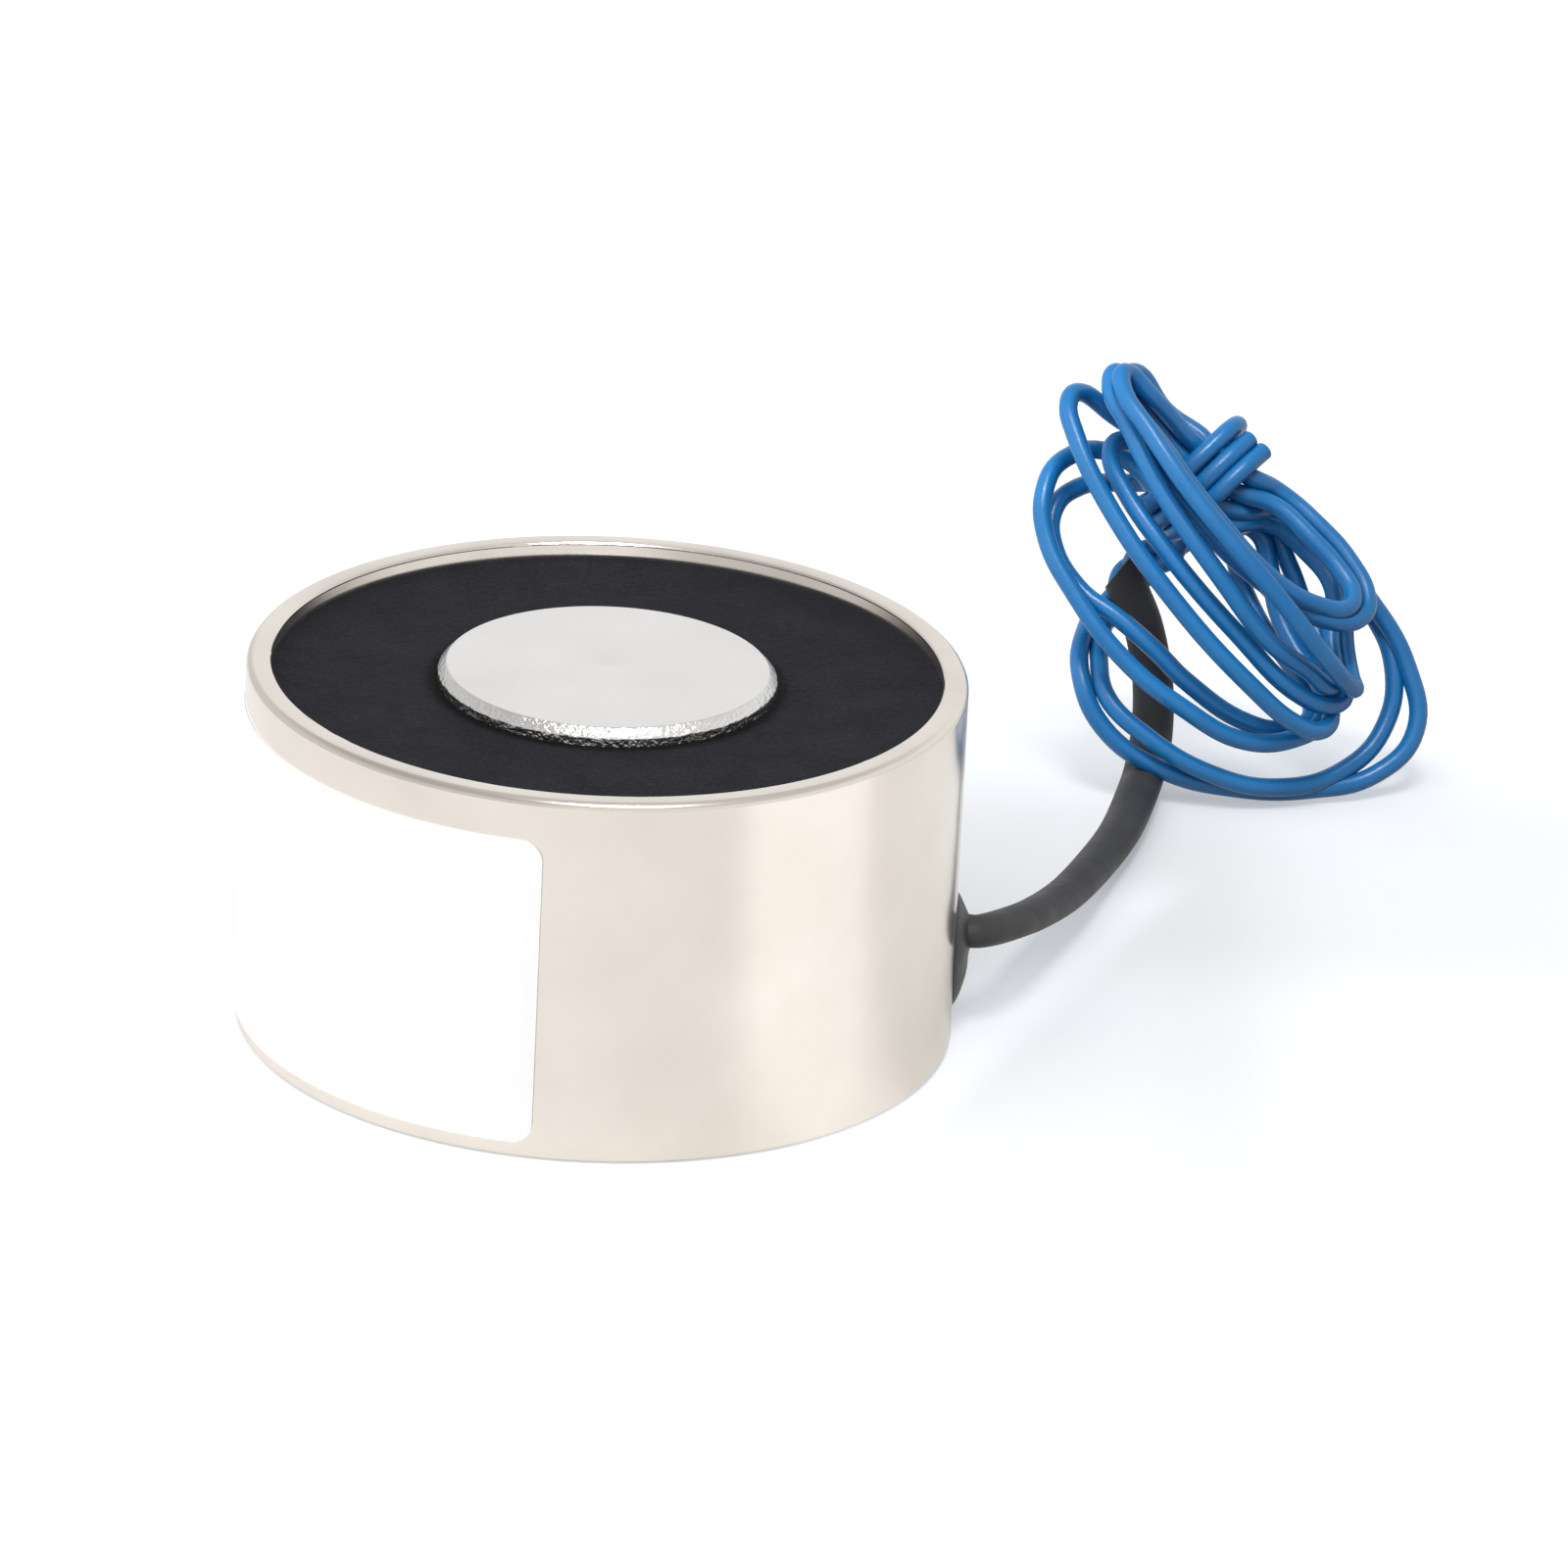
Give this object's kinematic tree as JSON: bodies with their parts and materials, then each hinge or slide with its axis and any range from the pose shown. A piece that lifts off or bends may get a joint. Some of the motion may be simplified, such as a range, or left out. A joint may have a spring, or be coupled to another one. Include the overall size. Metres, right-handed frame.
{
  "type": "holding electromagnet",
  "caption": "Round pot-type holding electromagnet: plated steel pot, centre pole face, potted coil, side lead exit with a sleeved pair of wires tied in a skein.",
  "frame": {"origin": "centre of the flat back face of the pot, which it stands on", "axes": "+Z along the pot's axis to the pole face, which looks up; +X towards the side where the lead comes out; -Y towards the picture's camera"},
  "size_m": [0.0577, 0.0563, 0.0205],
  "materials": {
    "nickel_steel": "bright nickel plating over fine turned steel",
    "nylon": "natural moulded nylon",
    "copper": "enamelled copper magnet wire",
    "polyester_tape": "yellow polyester coil tape",
    "potting": "black cast resin, matt",
    "black_sealant": "black sealant, satin",
    "black_sleeving": "black shrink sleeving, satin",
    "blue_insulation": "blue wire insulation, semi-gloss",
    "solder": "soldered joint",
    "label_paper": "blank white coated paper label"
  },
  "bodies": {
    "root": {"housing_cup": "nickel_steel", "pole_core": "nickel_steel", "coil_bobbin": "nylon", "coil_winding": "copper", "winding_tape": "polyester_tape", "potting_compound": "potting", "exit_bead": "black_sealant", "blue_root_a": "blue_insulation", "blue_root_b": "blue_insulation", "solder_joint_a": "solder", "solder_joint_b": "solder", "joint_sleeve_a": "black_sleeving", "joint_sleeve_b": "black_sleeving", "copper_tail_a": "copper", "copper_tail_b": "copper", "rating_label": "label_paper", "lead_sleeve": "black_sleeving", "blue_lead_a": "blue_insulation", "blue_lead_b": "blue_insulation", "lead_coil": "blue_insulation"}
  },
  "joints": []
}
